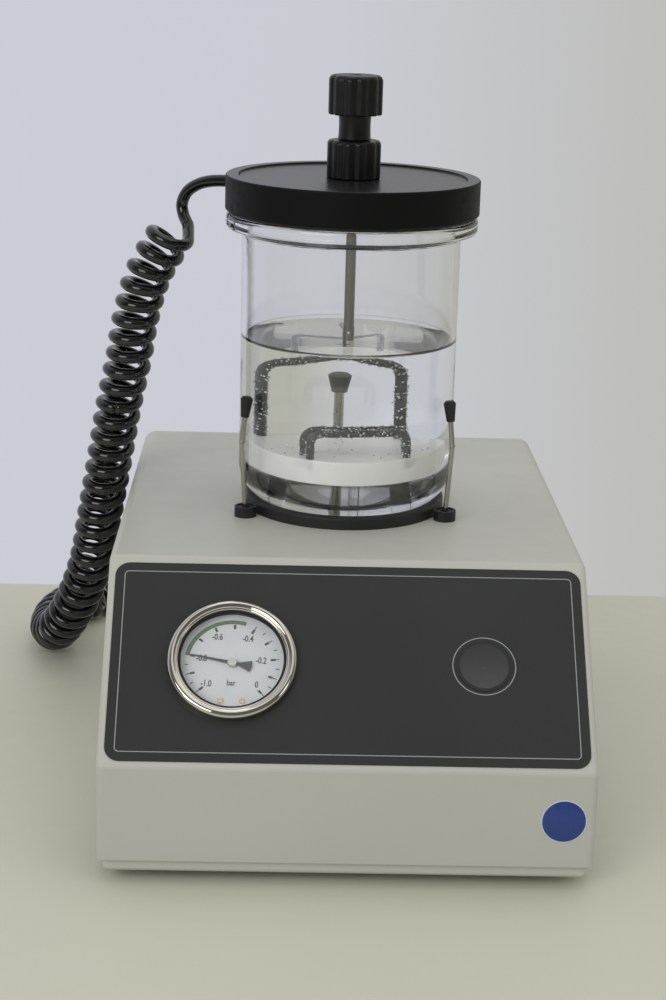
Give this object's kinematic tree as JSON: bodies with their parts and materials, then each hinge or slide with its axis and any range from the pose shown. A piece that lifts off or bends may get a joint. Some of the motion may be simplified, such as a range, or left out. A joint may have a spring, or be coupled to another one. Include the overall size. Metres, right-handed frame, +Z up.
{
  "type": "watch water resistance tester",
  "caption": "Bench vacuum tester for watches: a pump housing with a sloping gauge panel, a sprung-held glass water jar, a lid with a sliding rod and a curly hose.",
  "frame": {"origin": "on the table, under the middle of the housing and its rear hose fitting", "axes": "+Z up through the knob, +X to the right seen from the front, -Y towards the user and the gauge"},
  "size_m": [0.3378, 0.4371, 0.4026],
  "materials": {
    "housing_paint": "satin",
    "tray_paint": "satin",
    "rubber": "matt",
    "rubber_ring": "matt",
    "steel": "brushed",
    "foil": "satin",
    "gauge_chrome": "polished",
    "clear_glass": "clear",
    "dial_white": "matt",
    "brass": "machined",
    "needle_black": "matt",
    "black_plastic": "satin",
    "button_grey": "satin",
    "switch_blue": "satin",
    "plunger_red": "satin",
    "jar_clear": "clear",
    "plate_white": "translucent",
    "wire_black": "coated",
    "lid_black": "satin gloss",
    "gland_dark": "anodised",
    "hose_black": "glossy",
    "board_green": "satin",
    "transformer_grey": "laminated",
    "pump_alloy": "cast",
    "motor_grey": "satin",
    "pump_black": "satin",
    "tube_clear": "translucent"
  },
  "bodies": {
    "housing": {"housing_cover": "housing_paint", "base_tray": "tray_paint", "rubber_feet": "rubber", "cover_screws": "steel", "panel_foil": "foil", "gauge_case": "steel", "gauge_bezel": "gauge_chrome", "gauge_glass": "clear_glass", "gauge_dial": "dial_white", "dial_screws": "steel", "gauge_movement": "brass", "gauge_bourdon": "brass", "gauge_clamp": "steel", "clamp_nuts": "brass", "gauge_port": "brass", "button_cup": "black_plastic", "button_nut": "steel", "button_switch": "switch_blue", "jar_ring": "rubber_ring", "post_rods": "steel", "post_collars": "black_plastic", "post_tips": "rubber", "post_nuts": "steel", "rear_hose_fitting": "black_plastic", "hose_coil": "hose_black", "hose_lead_rear": "hose_black", "power_inlet": "black_plastic", "inlet_pins": "steel", "switch_frame": "black_plastic", "power_board": "board_green", "transformer": "transformer_grey", "pump_mounts": "rubber", "pump_crankcase": "pump_alloy", "pump_motor": "motor_grey", "pump_con_rod": "pump_black", "pump_head": "pump_black", "vent_valve": "brass", "manifold": "pump_alloy", "air_tubes": "tube_clear"},
    "needle": {"gauge_needle": "needle_black", "needle_hub": "steel"},
    "button": {"button_cap": "button_grey", "switch_plunger": "plunger_red"},
    "rocker": {"switch_rocker": "black_plastic"},
    "rotor": {"pump_rotor": "steel"},
    "jar": {"jar_glass": "jar_clear"},
    "holder": {"holder_plate": "plate_white", "cradle_wires": "wire_black", "holder_bail": "wire_black"},
    "lid": {"lid_plate": "lid_black", "lid_gasket": "rubber", "lid_hose_fitting": "black_plastic", "gland_body": "gland_dark", "gland_seal": "rubber", "gland_lock_nut": "gland_dark", "hose_lead_top": "hose_black"},
    "nut": {"gland_nut": "lid_black"},
    "rod": {"lift_rod": "steel", "rod_tip": "steel", "rod_knob": "lid_black"}
  },
  "joints": [
    {"name": "needle_turn", "type": "hinge", "parent": "housing", "child": "needle", "pos_m": [-0.0615, -0.15043, 0.10829], "axis": [0, -0.6884, 0.7254], "range_deg": [-213.5, 56.5]},
    {"name": "button_press", "type": "slide", "parent": "housing", "child": "button", "axis": [0, 0.6884, -0.7254], "range_m": [0, 0.0015], "stiffness_N_per_m": 1000, "springref_m": -0.0005},
    {"name": "rocker_tilt", "type": "hinge", "parent": "housing", "child": "rocker", "pos_m": [0.025, 0.1765, 0.06], "axis": [-1, 0, 0], "range_deg": [0, 20]},
    {"name": "pump_turn", "type": "hinge", "parent": "housing", "child": "rotor", "pos_m": [0.065, 0.06, 0.051], "axis": [0, 1, 0], "continuous": true},
    {"name": "jar_lift", "type": "slide", "parent": "housing", "child": "jar", "axis": [0, 0, 1], "range_m": [0, 0.08]},
    {"name": "holder_lift", "type": "slide", "parent": "jar", "child": "holder", "axis": [0, 0, 1], "range_m": [0, 0.05]},
    {"name": "lid_lift", "type": "slide", "parent": "jar", "child": "lid", "axis": [0, 0, 1], "range_m": [0, 0.1]},
    {"name": "gland_turn", "type": "hinge", "parent": "lid", "child": "nut", "pos_m": [0, 0.00803, 0.35], "axis": [0, 0, 1], "range_deg": [0, 270]},
    {"name": "rod_slide", "type": "slide", "parent": "lid", "child": "rod", "axis": [0, 0, 1], "range_m": [0, 0.059]}
  ]
}
